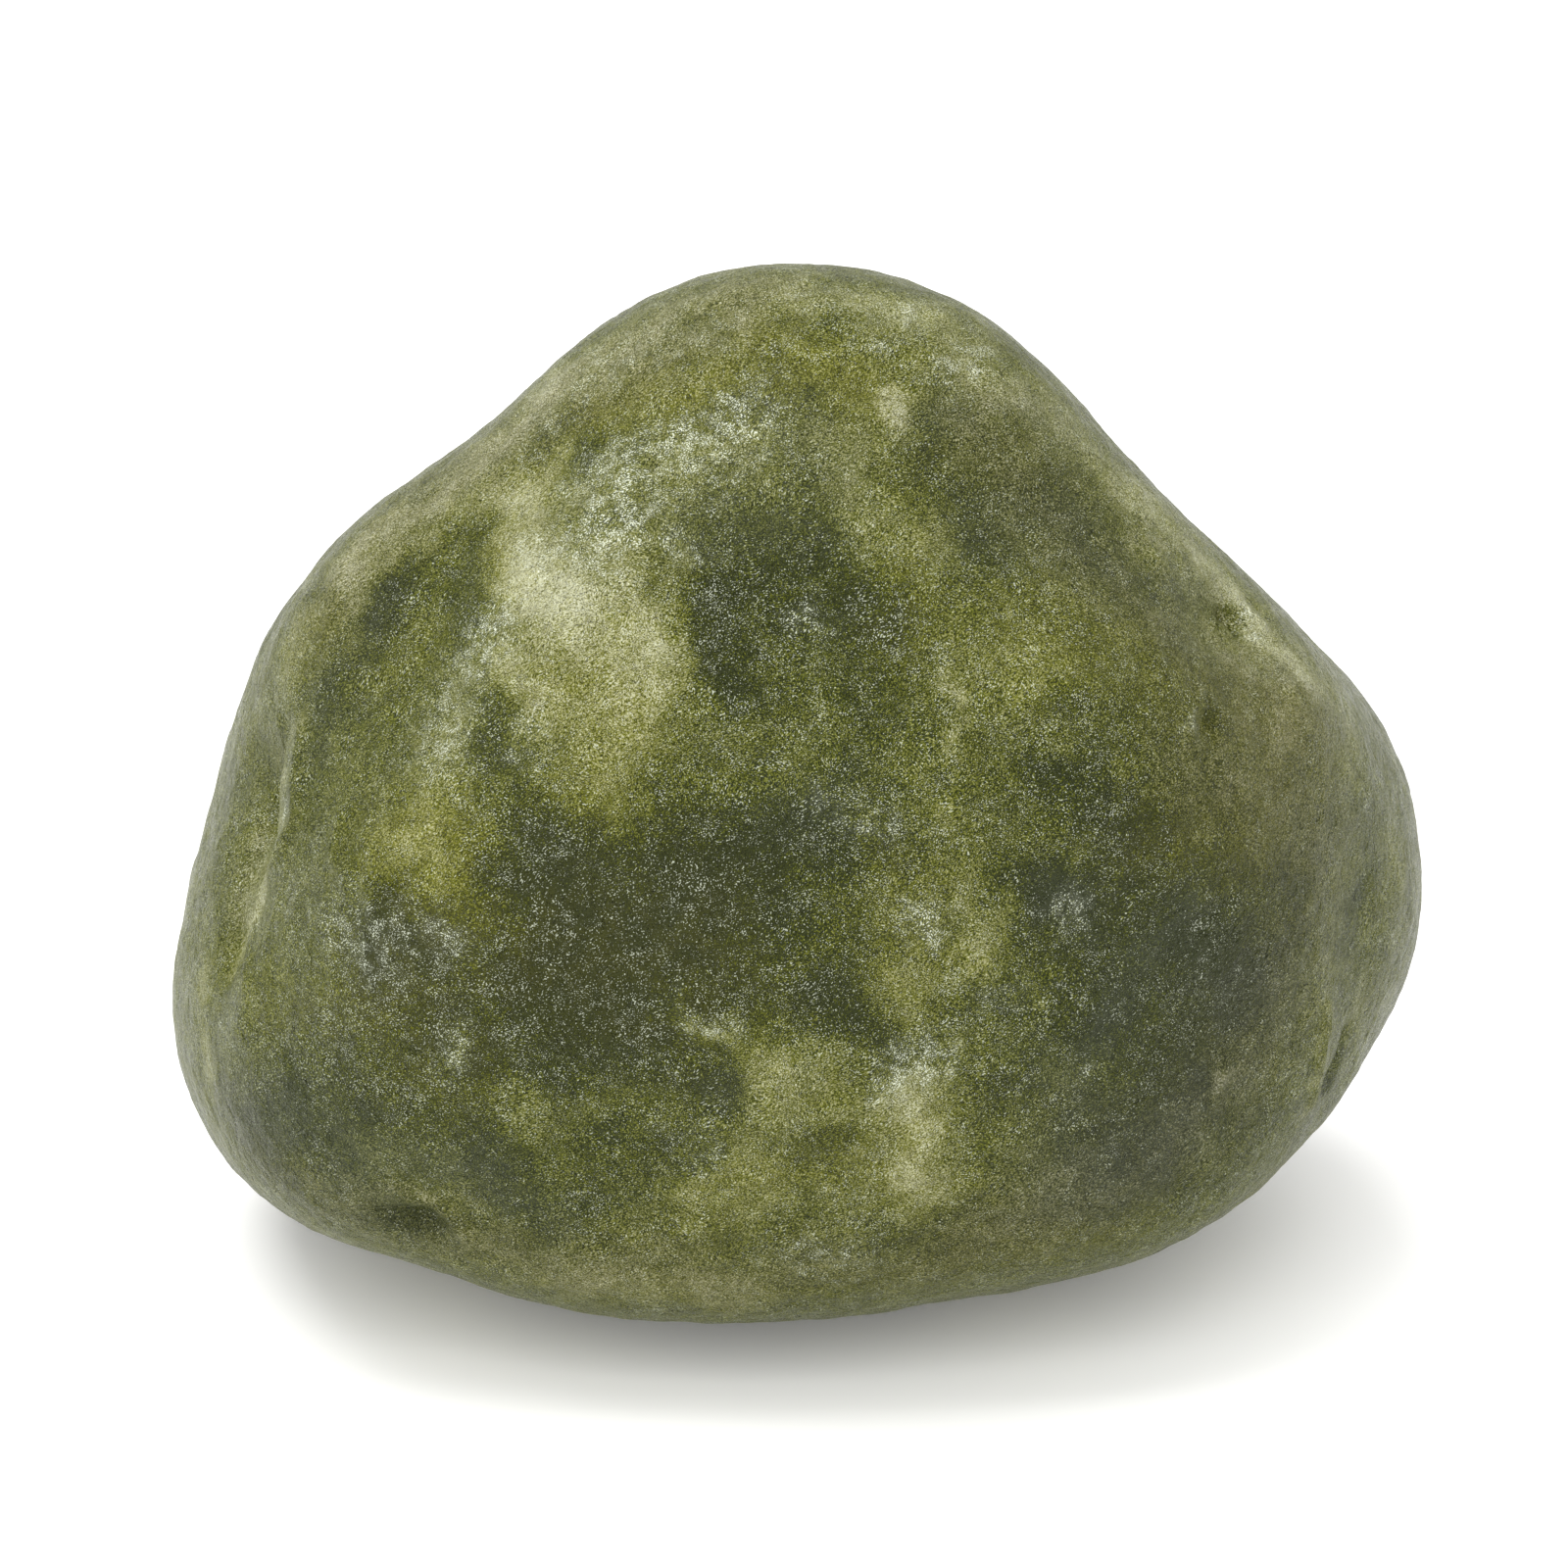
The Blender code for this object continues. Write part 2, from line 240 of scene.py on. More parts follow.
    ("dark", 0.10, 1.7, ((1080, 505), (1105, 545))),
    ("pale", 0.15, 0.8, ((1156, 492), (1166, 506))),
    ("pale", 0.10, 1.0, ((1186, 632),)),
    ("pale", 0.22, 0.7, ((1172, 565), (1188, 575))),
    ("dark", 0.14, 0.9, ((1160, 592), (1180, 600))),
    # The hollow and the crest on the right shoulder, with painted shade in the slit and painted highlights on
    # its chip and crest.
    ("slate", 0.5, 1.3, ((1200, 600), (1240, 618))),
    # Painted shade in the slit and a painted highlight on its chipped edge.
    ("dark", 0.50, 0.40, ((1250, 624), (1262, 640))),
    ("frost_and_sheen", 0.9, 0.6, ((1268, 628), (1285, 640))),
    ("pale", 0.24, 0.8, ((1262, 612), (1288, 632))),
    ("pale", 0.20, 0.6, ((1303, 655),)),
    # The paler crest: partly paler stone, partly painted highlight and rim light.
    ("pale", 0.19, 2.7, ((1190, 540), (1225, 572), (1276, 628), (1312, 660), (1344, 696), (1372, 735))),
    ("pale", 0.22, 0.6, ((1200, 548), (1222, 580))),
    ("pale", 0.20, 0.7, ((1312, 668), (1340, 700))),
    ("pale", 0.18, 1.6, ((1226, 648), (1300, 705), (1310, 755))),
    ("pale", 0.12, 1.5, ((1232, 585), (1276, 640), (1330, 690))),
    ("slate", 0.4, 1.2, ((1190, 640), (1290, 680), (1370, 750))),
    ("moss", 0.5, 3.6, ((1060, 660), (1180, 680), (1300, 730))),
    ("moss", 0.3, 3.6, ((1300, 800), (1350, 760))),
    ("pale", 0.12, 1.5, ((1055, 690), (1090, 682))),
    ("pale", 0.30, 0.5, ((958, 702), (975, 718), (985, 745), (970, 768))),
    ("pale", 0.07, 2.4, ((990, 700), (1040, 730))),
    ("dark", 0.10, 1.5, ((1080, 722), (1112, 738))),
    ("dark", 0.10, 0.8, ((1240, 740), (1250, 752))),
    ("frost_and_sheen", 0.7, 0.5, ((1215, 748), (1222, 730))),
    ("dark", 0.12, 1.6, ((880, 772), (905, 790))),
    ("dark", 0.20, 1.9, ((1045, 785), (1100, 800), (1152, 835))),
    ("moss", 0.5, 2.6, ((1170, 870), (1250, 855), (1290, 845))),
    ("slate", 0.5, 1.8, ((1370, 830), (1400, 860))),
    # The pale band right of the middle.
    ("pale", 0.06, 3.0, ((930, 790), (980, 860))),
    ("pale", 0.20, 1.7, ((1008, 915), (1010, 940), (990, 972), (940, 992), (928, 1032))),
    ("pale", 0.05, 2.4, ((920, 920), (950, 960))),
    ("moss", 0.4, 2.4, ((930, 1000), (930, 900))),
    ("frost_and_sheen", 0.5, 0.9, ((940, 915), (945, 955))),
    ("pale", 0.14, 0.9, ((1025, 995), (1050, 1012))),
    ("frost_and_sheen", 0.5, 0.8, ((1010, 1020), (1028, 1002))),
    ("dark", 0.12, 1.2, ((1042, 925), (1036, 955))),
    ("pale", 0.08, 1.0, ((1048, 990),)),
    ("dark", 0.20, 1.9, ((1060, 905), (1108, 912))),
    ("dark", 0.22, 1.3, ((1026, 898),)),
    ("slate", 0.6, 1.9, ((1060, 910), (1112, 925))),
    # Painted sheen on the frosted patch.
    ("frost_and_sheen", 0.5, 1.1, ((1075, 925), (1105, 925))),
    # The crescent and the cream patch below the middle.
    ("pale", 0.26, 0.8, ((690, 1012), (703, 1040), (752, 1046))),
    ("frost_and_sheen", 0.6, 0.7, ((693, 1015), (705, 1042), (750, 1044))),
    ("pale", 0.17, 1.6, ((778, 1090), (795, 1118), (812, 1145))),
    ("pale", 0.14, 2.2, ((830, 1085), (880, 1130))),
    ("frost_and_sheen", 0.6, 1.3, ((915, 1085), (955, 1070))),
    ("frost_and_sheen", 0.9, 0.9, ((893, 1118), (920, 1100), (962, 1095))),
    ("pale", 0.24, 0.5, ((978, 1045), (986, 1076))),
    ("pale", 0.34, 2.0, ((930, 1118), (942, 1165), (936, 1195))),
    ("pale", 0.08, 1.8, ((868, 1225), (910, 1222))),
    ("moss", 0.5, 2.2, ((940, 1150), (935, 1200), (860, 1190))),
    ("dark", 0.10, 1.2, ((880, 1105),)),
    ("dark", 0.16, 1.2, ((832, 1052),)),
    ("dark", 0.12, 1.4, ((850, 1170), (820, 1175))),
    ("dark", 0.16, 1.7, ((715, 1105), (755, 1120))),
    ("slate", 0.5, 1.6, ((720, 1110), (760, 1120))),
    ("dark", 0.16, 1.6, ((640, 1168), (690, 1180))),
    ("dark", 0.10, 1.6, ((580, 1116), (622, 1212))),
    ("frost_and_sheen", 0.5, 0.8, ((700, 1165), (735, 1192))),
    ("pale", 0.10, 1.4, ((520, 1120), (552, 1150), (600, 1135))),
    ("pale", 0.16, 1.9, ((715, 1235), (765, 1225), (785, 1180))),
    ("moss", 0.5, 2.0, ((730, 1230), (800, 1190))),
    # The slaty left foot with its fold.
    ("slate", 0.7, 2.2, ((248, 1125), (310, 1135), (350, 1160))),
    ("dark", 0.09, 2.2, ((250, 1130), (330, 1150))),
    ("slate", 0.6, 2.4, ((370, 1175), (470, 1190))),
    ("dark", 0.16, 1.6, ((490, 1160), (515, 1205))),
    ("slate", 0.6, 2.0, ((500, 1200), (560, 1235))),
    # Painted shade in the fold.
    ("dark", 0.16, 1.1, ((405, 1235), (445, 1242))),
    ("slate", 0.6, 1.6, ((350, 1205), (430, 1245))),
    # Painted highlight along the fold's lit lip.
    ("pale", 0.16, 0.5, ((400, 1214), (422, 1226), (446, 1230))),
    ("pale", 0.12, 0.6, ((450, 1238), (482, 1270))),
    ("dark", 0.08, 2.0, ((560, 1245), (600, 1230))),
    # The slaty right flank.
    ("dark", 0.17, 4.2, ((1165, 905), (1255, 925), (1275, 970))),
    ("dark", 0.15, 4.2, ((1100, 1012), (1180, 1035), (1230, 985))),
    ("dark", 0.12, 2.4, ((1176, 1096), (1172, 1120))),
    ("dark", 0.12, 1.0, ((1360, 1080),)),
    ("pale", 0.14, 1.6, ((1418, 860), (1422, 910))),
    ("pale", 0.16, 1.3, ((1392, 1010), (1385, 1050))),
    ("slate", 0.9, 1.8, ((1150, 1000), (1130, 1055))),
    ("dark", 0.12, 1.7, ((1150, 1005), (1130, 1050))),
    ("slate", 0.7, 1.6, ((1220, 920), (1185, 965))),
    ("dark", 0.10, 1.5, ((1200, 950), (1240, 970))),
    ("slate", 0.6, 3.0, ((1250, 1000), (1300, 1010))),
    ("dark", 0.10, 2.6, ((1255, 1010), (1200, 1080))),
    ("slate", 0.6, 2.0, ((1060, 1090), (1100, 1115))),
    ("slate", 0.8, 3.2, ((1110, 1160), (1190, 1170), (1230, 1120))),
    ("dark", 0.12, 3.0, ((1110, 1160), (1170, 1170))),
    ("dark", 0.10, 1.6, ((1225, 1125), (1290, 1140))),
    ("dark", 0.10, 2.0, ((1172, 1228), (1256, 1204))),
    ("slate", 0.5, 2.6, ((1070, 1215), (1150, 1215))),
    ("dark", 0.10, 2.0, ((990, 1115), (1030, 1125))),
    ("dark", 0.12, 1.2, ((1290, 890), (1330, 895))),
    ("pale", 0.24, 0.45, ((1252, 1085), (1243, 1120))),
    ("pale", 0.20, 0.4, ((1243, 1042),)),
    ("frost_and_sheen", 0.5, 0.5, ((1118, 1085), (1128, 1078))),
    ("slate", 0.6, 1.5, ((1385, 905), (1370, 955))),
    ("dark", 0.12, 1.3, ((1383, 920), (1370, 960))),
    ("pale", 0.26, 0.8, ((1356, 1030), (1350, 1080), (1342, 1125))),
    ("dark", 0.14, 0.7, ((1372, 1058), (1352, 1105))),
    ("slate", 0.4, 3.0, ((1400, 1000), (1330, 1150))),
    # The browner stone of the right flank, the shoulders and the foot.
    ("brown", 0.8, 5.0, ((1240, 800), (1330, 850), (1290, 1010), (1200, 1160), (1050, 1250))),
    ("brown", 0.6, 3.5, ((1000, 450), (1100, 560), (1230, 680), (1330, 740))),
    ("brown", 0.6, 3.0, ((250, 1150), (380, 1240), (560, 1290), (760, 1310), (960, 1280))),
    ("brown", 0.5, 3.0, ((330, 620), (440, 500), (620, 380), (760, 310))),
    # The foot.
    ("frost_and_sheen", 0.5, 1.5, ((830, 1292), (872, 1280))),
    ("dark", 0.12, 1.6, ((898, 1262), (955, 1252))),
    ("pale", 0.18, 0.5, ((980, 1252),)),
    # Paler along the bottom edge: partly paler stone, partly painted bounce light from the floor.
    ("pale", 0.14, 2.2, ((548, 1300), (680, 1310), (745, 1316))),
    ("moss", 0.4, 2.6, ((600, 1310), (700, 1320), (1150, 1250))),
)

# Every cloud counts this many times its amount, which sets the contrast of them all.
CLOUD_CONTRAST = 1.45

# The stone's usual tone, from 0, the darkest, to 1, the palest.
MEAN_TONE = 0.26

# The side that the camera can't see has noise in place of clouds. A point is wholly on that side where the
# cosine between its normal and the way to the camera is below the first value, and partly for this far above.
HIDDEN_COSINE = -0.10
HIDDEN_FADE = 0.35

# On that side the tone is this much paler and swings this far each way, and this much brown lies over it.
HIDDEN_TONE = 0.04
HIDDEN_TONE_SWING = 0.46
HIDDEN_BROWN = 0.6

# The other kinds are laid out there by noise with these seeds.
HIDDEN_SEEDS = {"slate": 15, "moss": 19, "frost_and_sheen": 23}

# Gentle lumps all over the skin: height and size in millimetres, octaves and seed.
LUMPS = (
    (0.12, 5, 2, 31),
    (0.08, 1.8, 3, 35),
)

# Small forms seen from the front: height and half width in millimetres, and middle line in pixels.
FRONT_MARKS = (
    # The round dimple on the left, its rim, and the crescent above it.
    (-0.38, 1.0, ((396, 910),)),
    (0.16, 0.5, ((372, 900), (378, 930), (402, 942))),
    (0.18, 0.45, ((347, 826), (338, 868), (350, 898))),
    (-0.12, 0.5, ((364, 832), (354, 868), (366, 890))),
    # The furrow at the far left, with its lit edge.
    (0.24, 0.6, ((308, 743), (298, 843), (283, 870), (268, 912), (251, 1000))),
    (-0.28, 0.8, ((288, 750), (278, 840), (262, 872), (247, 915), (231, 995))),
    # The pale crescent in the middle.
    (0.18, 0.45, ((956, 702), (974, 716), (985, 745), (970, 768))),
    (-0.10, 0.5, ((942, 716), (960, 730), (966, 752))),
    # The chip beside the summit ridge.
    (0.22, 0.5, ((903, 403), (915, 430))),
    (-0.14, 0.5, ((924, 405), (934, 434))),
    # Two bumps on the slope that falls to the right.
    (0.22, 0.7, ((1160, 500),)),
    (0.20, 0.6, ((1181, 565),)),
    # The slit in the right shoulder, with its chipped edge.
    (-0.60, 0.5, ((1248, 625), (1262, 640))),
    (0.25, 0.5, ((1268, 622), (1286, 642))),
    (0.16, 0.4, ((1303, 655),)),
    # The dimple below the right shoulder.
    (-0.34, 0.9, ((1231, 737),)),
    (0.14, 0.45, ((1213, 752), (1216, 730), (1232, 716))),
    # The fold in the left foot.
    (-0.48, 0.9, ((405, 1240), (440, 1244))),
    (0.22, 0.5, ((398, 1212), (422, 1226), (448, 1230))),
    (0.16, 0.5, ((450, 1238), (482, 1270))),
    # The groove in the right flank.
    (-0.28, 0.8, ((1374, 1055), (1352, 1108))),
    (0.20, 0.6, ((1357, 1030), (1346, 1085), (1338, 1125))),
    # Small steps in the lower middle.
    (0.14, 0.5, ((690, 1015), (703, 1042), (752, 1048))),
    (-0.14, 0.5, ((702, 998), (716, 1026), (756, 1032))),
    (0.15, 0.6, ((893, 1118), (920, 1100), (962, 1095))),
    (0.15, 0.5, ((978, 1045), (986, 1076))),
    (0.14, 0.4, ((1252, 1085), (1243, 1120))),
)

# Every mark is this many times as high or deep as its row says, so that it shows through the grain.
MARK_STRENGTH = 1.6


def colour(red, green, blue):
    """A linear colour from an sRGB one in 0 to 255."""
    shown = Color((red / 255, green / 255, blue / 255))
    return (*shown.from_srgb_to_scene_linear(), 1.0)


# Base colours from the darkest stone to the palest, each with its place on the scale of tones.
GREEN_TONES = (
    (0.00, colour(30, 36, 1)),
    (0.13, colour(48, 54, 7)),
    (0.25, colour(66, 71, 22)),
    (0.48, colour(98, 100, 64)),
    (0.78, colour(135, 135, 107)),
    (1.00, colour(166, 167, 145)),
)

# Colours that lie over the base colour, and how much of each shows where its kind is at its fullest. The
# frosted colour is whitish stone and painted sheen in one.
MOSS = colour(112, 106, 28)
MOSS_COVER = 0.12
SLATE = colour(66, 70, 60)
SLATE_COVER = 0.24
# Whitish frosted stone, partly painted sheen.
FROST_AND_SHEEN = colour(156, 160, 142)
FROST_AND_SHEEN_COVER = 0.16

# Noise patterns of the material: size of the lumps in millimetres, detail, roughness and distortion.
CLOUD_NOISE = (3.2, 5, 0.62, 0.5)
MOTTLE_NOISE = (1.1, 3, 0.6, 0.3)
GRAIN_NOISE = (0.085, 1, 0.6, 0.0)
CRACK_NOISE = (1.5, 3, 0.6, 0.6)
CRACK_STRETCH_NOISE = (2.6, 1, 0.5, 0.0)
HUE_NOISE = (2.1, 4, 0.6, 0.4)
FROST_AND_SHEEN_NOISE = (0.9, 4, 0.65, 0.4)
GLINT_NOISE = (0.072, 0, 0.5, 0.0)
GLINT_GROUP_NOISE = (0.9, 3, 0.6, 0.0)
GLINT_FIELD_NOISE = (4.0, 3, 0.6, 0.0)
SUGAR_NOISE = (0.10, 1, 0.6, 0.0)
LEATHER_NOISE = (0.45, 3, 0.6, 0.4)
NOISE_MIDDLE = 0.5

# The grain is drawn out along one direction, this many times, and bent by noise of this size and reach.
STROKE_LENGTH = 1.35
STROKE_TURN = (0, 0.9, 0)
BEND_SIZE_MM = 3.5
BEND_REACH_MM = 0.9
BEND_DETAIL = 2.0

# How far each pattern swings the tone, from its lowest to its highest.
CLOUD_SWING = 0.48
MOTTLE_SWING = 0.38
GRAIN_SWING = 2.05

# A crack runs where its noise comes this near to its middle value, and darkens the tone by this much.
CRACK_NEARNESS = 0.016
CRACK_DARKNESS = 0.22

# How strong the colour is, what each kind adds to it or takes from it, and how far noise swings it.
SATURATION = 1.36
MOSS_SATURATION = 0.15
SLATE_FADING = 0.20
BROWN_FADING = 0.30
SATURATION_SWING = 0.5

# Where the hue is turned to, with 0.5 as it was and less as warmer, and what brown stone adds to that.
HUE_TURN = 0.496
BROWN_HUE_TURN = -0.011

# The painted glints, whitish painted highlights of the sugary grain laid into the base colour: how far they
# gather in groups and fields, what frost and sheen add to them, and what dull stone takes.
GLINT_GROUP_SWING = 0.45
GLINT_FIELD_SWING = 0.22
FROST_AND_SHEEN_GLINTS = 0.12
DULL_GLINTS = 0.06

# A painted glint begins at the first height of its noise and is full at the second. It then covers this much
# of plain stone, and more of it up to where the frost and sheen count as full.
PAINTED_GLINT_COLOUR = colour(206, 211, 192)
PAINTED_GLINT_START = 0.645
PAINTED_GLINT_FULL = 0.785
PLAIN_PAINTED_GLINT_COVER = 0.52
FROST_AND_SHEEN_GLINT_COVER = 0.82
FROST_AND_SHEEN_FULL = 0.8

# The roughness at the low and the high end of the mottle, and the settings that are the same all over.
LOW_ROUGHNESS = 0.26
HIGH_ROUGHNESS = 0.40
GLOSS = {
    "IOR": 1.66,
    "Specular IOR Level": 0.09,
    "Sheen Weight": 0.10,
    "Sheen Roughness": 0.35,
    "Sheen Tint": colour(205, 215, 150),
}

# How far each layer of the material's relief rises, in millimetres.
SUGAR_RISE = 0.22
LEATHER_RISE = 0.26
MOTTLE_RISE = 0.50

# Places of the colour sockets on a mix node.
MIX_SHARE = 0
MIX_FIRST = 6
MIX_SECOND = 7
MIX_RESULT = 2


def make_camera():
    """The camera looks a little down on the stone, which stands just off the picture's centre."""
    data = bpy.data.cameras.new("camera")
    data.sensor_width = SENSOR_WIDTH_MM
    data.lens = data.sensor_width / 2 * VIEW_DISTANCE / (PICTURE_SIDE / 2 * PIXEL)
    data.clip_start = NEAREST_SEEN
    data.clip_end = FURTHEST_SEEN
    across = (PICTURE_SIDE / 2 - MIDDLE_PIXEL[0]) * PIXEL
    up = (MIDDLE_PIXEL[1] - PICTURE_SIDE / 2) * PIXEL
    camera = bpy.data.objects.new("camera", data)
    turned = Matrix((RIGHT, UPWARD, TOWARD)).transposed().to_4x4()
    camera.matrix_world = Matrix.Translation(EYE + RIGHT * across + UPWARD * up) @ turned
    bpy.context.scene.collection.objects.link(camera)
    bpy.context.scene.camera = camera


def make_world():
    """White surroundings, as in a light tent."""
    world = bpy.data.worlds.new("studio")
    world.use_nodes = True
    background = world.node_tree.nodes["Background"]
    background.inputs["Color"].default_value = WHITE
    background.inputs["Strength"].default_value = SURROUNDING_LIGHT
    bpy.context.scene.world = world


def area_light(name, place, size, power):
    """A soft square light that faces the stone."""
    data = bpy.data.lights.new(name, "AREA")
    data.size = size
    data.energy = power
    light = bpy.data.objects.new(name, data)
    light.location = place
    light.rotation_euler = (MIDDLE - Vector(place)).to_track_quat("-Z", "Y").to_euler()
    bpy.context.scene.collection.objects.link(light)


def floor_white():
    """Plain white that glows a little, as a lit table does."""
    material = bpy.data.materials.new("floor_white")
    material.use_nodes = True
    shader = material.node_tree.nodes["Principled BSDF"]
    shader.inputs["Base Color"].default_value = FLOOR_COLOUR
    shader.inputs["Roughness"].default_value = FLOOR_ROUGHNESS
    shader.inputs["Emission Color"].default_value = FLOOR_GLOW
    shader.inputs["Emission Strength"].default_value = FLOOR_GLOW_STRENGTH
    return material


def make_floor():
    """A plain flat floor under the stone."""
    mesh = bmesh.new()
    bmesh.ops.create_grid(mesh, x_segments=1, y_segments=1, size=FLOOR_HALF_WIDTH)
    data = bpy.data.meshes.new("floor")
    mesh.to_mesh(data)
    mesh.free()
    data.materials.append(floor_white())
    floor = bpy.data.objects.new("floor", data)
    bpy.context.scene.collection.objects.link(floor)


def vertex_vectors(mesh, name):
    """The places or the normals of a mesh's points, one in each row."""
    flat = np.empty(len(mesh.vertices) * 3, np.float32)
    mesh.vertices.foreach_get(name, flat)
    return flat.reshape(-1, 3).astype(float)


def dense_skin(node):
    """A copy of the solid's surface in small even quads, with its facets smoothed away."""
    mesh = bmesh.new()
    mesh.from_mesh(node.data)
    bmesh.ops.remove_doubles(mesh, verts=mesh.verts, dist=WELD_DISTANCE)
    data = bpy.data.meshes.new("rough")
    mesh.to_mesh(data)
    mesh.free()
    rough = bpy.data.objects.new("rough", data)
    bpy.context.scene.collection.objects.link(rough)
    remesh = rough.modifiers.new("remesh", "REMESH")
    remesh.mode = "VOXEL"
    remesh.voxel_size = VOXEL
    smooth = rough.modifiers.new("smooth", "SMOOTH")
    smooth.factor = SMOOTHING_FACTOR
    smooth.iterations = SMOOTHING_PASSES
    shown = rough.evaluated_get(bpy.context.evaluated_depsgraph_get())
    skin = bpy.data.meshes.new_from_object(shown)
    bpy.data.objects.remove(rough)
    return skin


def fractal(points, size, octaves, seed):
    """Smooth noise from about -1 to 1 at each point, with lumps of this size in millimetres."""
    shift = Vector([seed * step for step in SEED_STEPS])
    scale = 1 / (size * MM)
    places = [Vector(point) * scale + shift for point in points]
    return np.array([noise.fractal(place, OCTAVE_FALL, OCTAVE_RATIO, octaves) for place in places])


def wandered(points, size, reach, seed):
    """The points, each moved up to about this far by noise with lumps of this size, both in millimetres."""
    moves = np.stack([fractal(points, size, octaves=3, seed=seed + axis) for axis in range(3)], 1)
    return points + moves * reach * MM


def distance_to_path(points, path):
    """The distance from each point to the nearest place on a path of straight stretches."""
    path = np.array(path)
    nearest = np.linalg.norm(points - path[0], axis=1)
    for start, end in zip(path[:-1], path[1:]):
        stretch = end - start
        along = np.clip((points - start) @ stretch / (stretch @ stretch), 0, 1)
        nearest = np.minimum(nearest, np.linalg.norm(points - start - np.outer(along, stretch), axis=1))
    return nearest


def surface_of(mesh):
    """The mesh as a surface that lines of sight can be sent to."""
    corners = [vertex.co for vertex in mesh.vertices]
    return BVHTree.FromPolygons(corners, [face.vertices[:] for face in mesh.polygons])


def seen_at(surface, pixel):
    """The place on the stone that the camera sees at a pixel."""
    across = (pixel[0] - MIDDLE_PIXEL[0]) * PIXEL
    up = (MIDDLE_PIXEL[1] - pixel[1]) * PIXEL
    aim = MIDDLE + RIGHT * across + UPWARD * up
    return surface.ray_cast(EYE, aim - EYE)[0]


def covered(points, surface, pixels, width):
    """How much a soft stroke covers each point: 1 on its line, and about a third at its half width."""
    line = [seen_at(surface, pixel) for pixel in pixels]
    return np.exp(-((distance_to_path(points, line) / (width * MM)) ** 2))


def cloud_fields(points, normals, surface):
    """How pale, slaty, brown, mossy and frosted the stone is at each point, the frost being partly painted
    sheen.
    """
    places = wandered(points, size=6, reach=1.2, seed=1)
    places = wandered(places, size=1.7, reach=0.8, seed=5)
    fields = {kind: np.zeros(len(points)) for kind in KINDS}
    for kind, amount, width, pixels in FRONT_CLOUDS:
        cover = CLOUD_CONTRAST * amount * covered(places, surface, pixels, width)
        if kind == "dark":
            fields["pale"] -= cover
        else:
            fields[kind] += cover
    hidden = 1 - np.clip((normals @ np.array(TOWARD) - HIDDEN_COSINE) / HIDDEN_FADE, 0, 1)
    hidden_tone = HIDDEN_TONE + HIDDEN_TONE_SWING * fractal(places, size=12, octaves=4, seed=11)
    fields["pale"] += MEAN_TONE + hidden * hidden_tone
    fields["brown"] += hidden * HIDDEN_BROWN
    for kind, seed in HIDDEN_SEEDS.items():
        fields[kind] += hidden * np.clip(fractal(places, size=9, octaves=4, seed=seed), 0, 1)
    return fields


def relief(points, surface):
    """The height of the skin's lumps and marks at each point, in metres."""
    height = sum(rise * fractal(points, size, octaves, seed) for rise, size, octaves, seed in LUMPS)
    places = wandered(points, size=1.2, reach=0.2, seed=41)
    for rise, width, pixels in FRONT_MARKS:
        height += MARK_STRENGTH * rise * covered(places, surface, pixels, width)
    return height * MM


def make_skin(node):
    """The stone as it is seen: the dense skin with its fine relief and its colour fields."""
    mesh = dense_skin(node)
    points = vertex_vectors(mesh, "co")
    normals = vertex_vectors(mesh, "normal")
    raised = points + normals * relief(points, surface_of(mesh))[:, None]
    raised = np.clip(raised, np.array(cad_low), np.array(cad_high))
    mesh.vertices.foreach_set("co", raised.astype(np.float32).ravel())
    mesh.update()
    for name, values in cloud_fields(raised, normals, surface_of(mesh)).items():
        mesh.attributes.new(name, "FLOAT", "POINT").data.foreach_set("value", values.astype(np.float32))
    mesh.shade_smooth()
    mesh.name = "stone_skin"
    skin = bpy.data.objects.new("stone_skin", mesh)
    bpy.context.scene.collection.objects.link(skin)
    return skin


